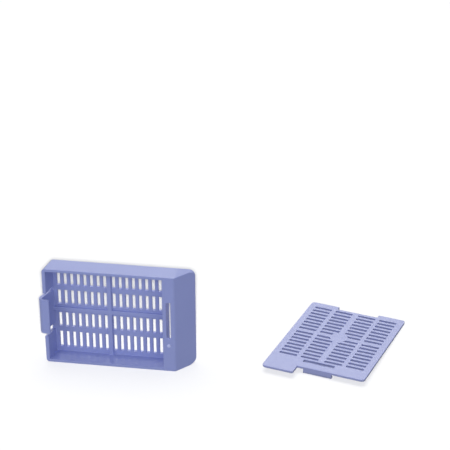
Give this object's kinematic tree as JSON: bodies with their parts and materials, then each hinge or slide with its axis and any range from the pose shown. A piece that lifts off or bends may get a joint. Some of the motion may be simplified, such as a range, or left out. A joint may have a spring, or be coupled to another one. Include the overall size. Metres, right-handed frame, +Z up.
{
  "type": "tissue cassette",
  "caption": "Slotted tissue cassette: a shallow moulded tray with a sloping writing face, a springy lug and a latch slot, with its clip-on lid lying beside it.",
  "frame": {"origin": "middle of the long edge that the base stands on, at the middle of the base's length and thickness", "axes": "+Z up the standing base, +X along the base towards its writing face, -Y out of the open tray"},
  "size_m": [0.0951, 0.042, 0.0285],
  "materials": {
    "base_plastic": "lilac moulded acetal, fine satin surface",
    "lid_plastic": "lilac moulded acetal, fine satin surface"
  },
  "bodies": {
    "root": {"cassette_base": "base_plastic", "cassette_lid": "lid_plastic"}
  },
  "joints": []
}
